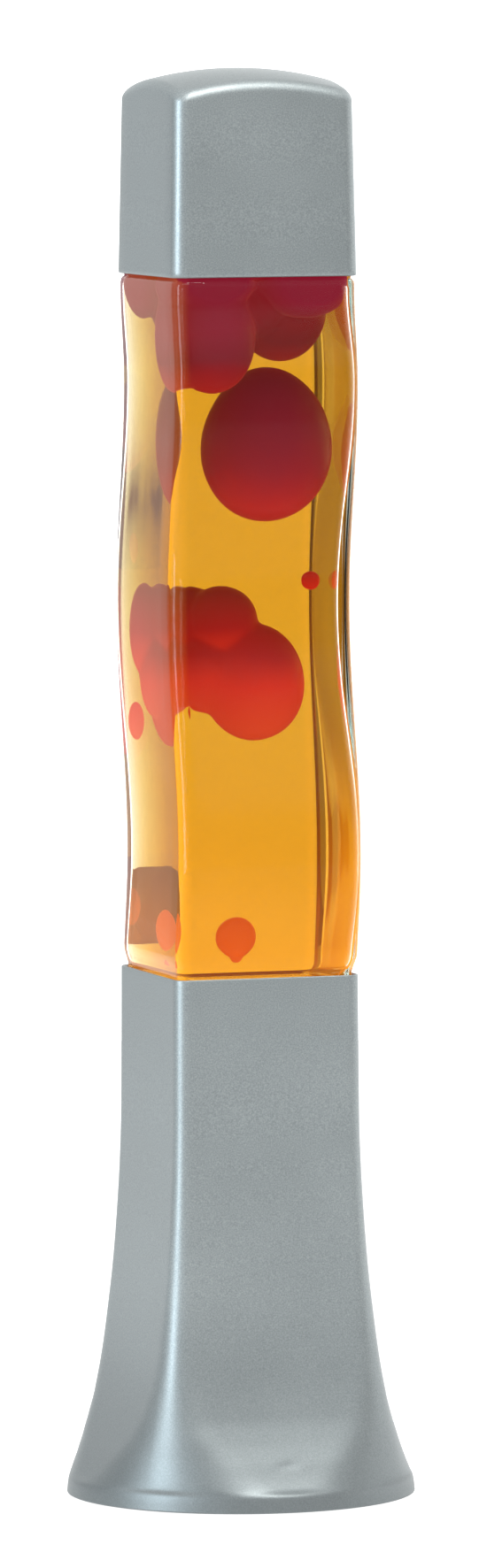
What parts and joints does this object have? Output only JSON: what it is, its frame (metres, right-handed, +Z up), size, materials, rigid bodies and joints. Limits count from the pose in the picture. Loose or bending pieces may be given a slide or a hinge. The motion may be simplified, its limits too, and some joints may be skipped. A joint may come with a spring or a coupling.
{
  "type": "lava lamp",
  "caption": "Lava lamp: wavy square glass bottle of amber liquid and drifting red wax between a flared silver base with a bulb inside and a lift-off silver cap.",
  "frame": {"origin": "on the table, under the middle of the lamp", "axes": "+Z up; -Y is the front face, which carries the weld mark near its foot; +X to the right"},
  "size_m": [0.0988, 0.0988, 0.4046],
  "materials": {
    "silver_paint": "fine-grained silver paint, satin",
    "bottle_glass": "clear glass",
    "amber_liquid": "clear amber liquid",
    "red_wax": "soft red wax",
    "plain_steel": "zinc-plated sheet",
    "brass": "plain brass",
    "tinplate": "bright tinplate",
    "rubber": "matt black rubber",
    "black_plastic": "black thermoset",
    "liner": "pale sealing liner",
    "reflector_glass": "silvered bowl, frosted face",
    "clear_glass": "clear glass",
    "tungsten": "dull wire"
  },
  "bodies": {
    "base": {"base_shell": "silver_paint", "base_plate": "plain_steel", "rubber_foot_1": "rubber", "rubber_foot_2": "rubber", "rubber_foot_3": "rubber", "rubber_foot_4": "rubber", "fixing_tab_front": "plain_steel", "plate_screw_front": "plain_steel", "fixing_tab_right": "plain_steel", "plate_screw_right": "plain_steel", "fixing_tab_left": "plain_steel", "plate_screw_left": "plain_steel", "cable_grommet": "rubber", "bottle_seat": "plain_steel", "holder_bridge": "plain_steel", "bridge_screw_left": "plain_steel", "bridge_screw_right": "plain_steel", "holder_nipple": "brass", "nipple_nut_lower": "brass", "nipple_nut_upper": "brass", "holder_cup": "black_plastic", "holder_sleeve": "black_plastic", "holder_insert": "black_plastic", "side_contact": "brass", "terminal_screw_live": "brass", "terminal_screw_neutral": "brass"},
    "contact": {"centre_contact": "brass"},
    "bulb_foot": {"bulb_tip": "tinplate", "bulb_insulator": "black_plastic"},
    "bulb": {"bulb_envelope": "reflector_glass", "bulb_screw_cap": "brass", "bulb_stem": "clear_glass", "filament_lead_left": "tungsten", "filament_lead_right": "tungsten", "filament": "tungsten"},
    "bottle": {"bottle_glass": "bottle_glass", "liquid": "amber_liquid", "wax_top_mass": "red_wax", "crown_cap": "tinplate", "crown_liner": "liner"},
    "globe": {"wax_globe": "red_wax"},
    "middle_wax": {"wax_middle_mass": "red_wax"},
    "bead": {"wax_bead": "red_wax"},
    "satellite": {"wax_satellite": "red_wax"},
    "rising_drop": {"wax_rising_drop": "red_wax"},
    "cap": {"top_cap": "silver_paint"}
  },
  "joints": [
    {"name": "cap_lift", "type": "slide", "parent": "bottle", "child": "cap", "axis": [0, 0, 1], "range_m": [0, 0.045]},
    {"name": "bottle_lift", "type": "slide", "parent": "base", "child": "bottle", "axis": [0, 0, 1], "range_m": [0, 0.03]},
    {"name": "bulb_rise", "type": "slide", "parent": "base", "child": "bulb_foot", "axis": [0, 0, 1], "range_m": [0, 0.00847]},
    {"name": "bulb_unscrew", "type": "hinge", "parent": "bulb_foot", "child": "bulb", "pos_m": [0, 0, 0.078], "axis": [0, 0, 1], "range_deg": [0, 1080]},
    {"name": "contact_press", "type": "slide", "parent": "base", "child": "contact", "axis": [0, 0, 1], "range_m": [-0.0008, 0.0002], "stiffness_N_per_m": 250},
    {"name": "globe_drift", "type": "slide", "parent": "bottle", "child": "globe", "axis": [0, 0, 1], "range_m": [-0.005, 0], "deforming": ["liquid"]},
    {"name": "middle_wax_drift", "type": "slide", "parent": "bottle", "child": "middle_wax", "axis": [0, 0, 1], "range_m": [0, 0.009], "deforming": ["liquid"]},
    {"name": "bead_drift", "type": "slide", "parent": "bottle", "child": "bead", "axis": [0, 0, 1], "range_m": [0, 0.01], "deforming": ["liquid"]},
    {"name": "satellite_drift", "type": "slide", "parent": "bottle", "child": "satellite", "axis": [0, 0, 1], "range_m": [0, 0.003], "deforming": ["liquid"]},
    {"name": "drop_rise", "type": "slide", "parent": "bottle", "child": "rising_drop", "axis": [0, 0, 1], "range_m": [0, 0.035], "deforming": ["liquid"]}
  ],
  "couplings": [
    {"joint": "bulb_rise", "follows": "bulb_unscrew", "m_per_rad": 0.00044882}
  ]
}
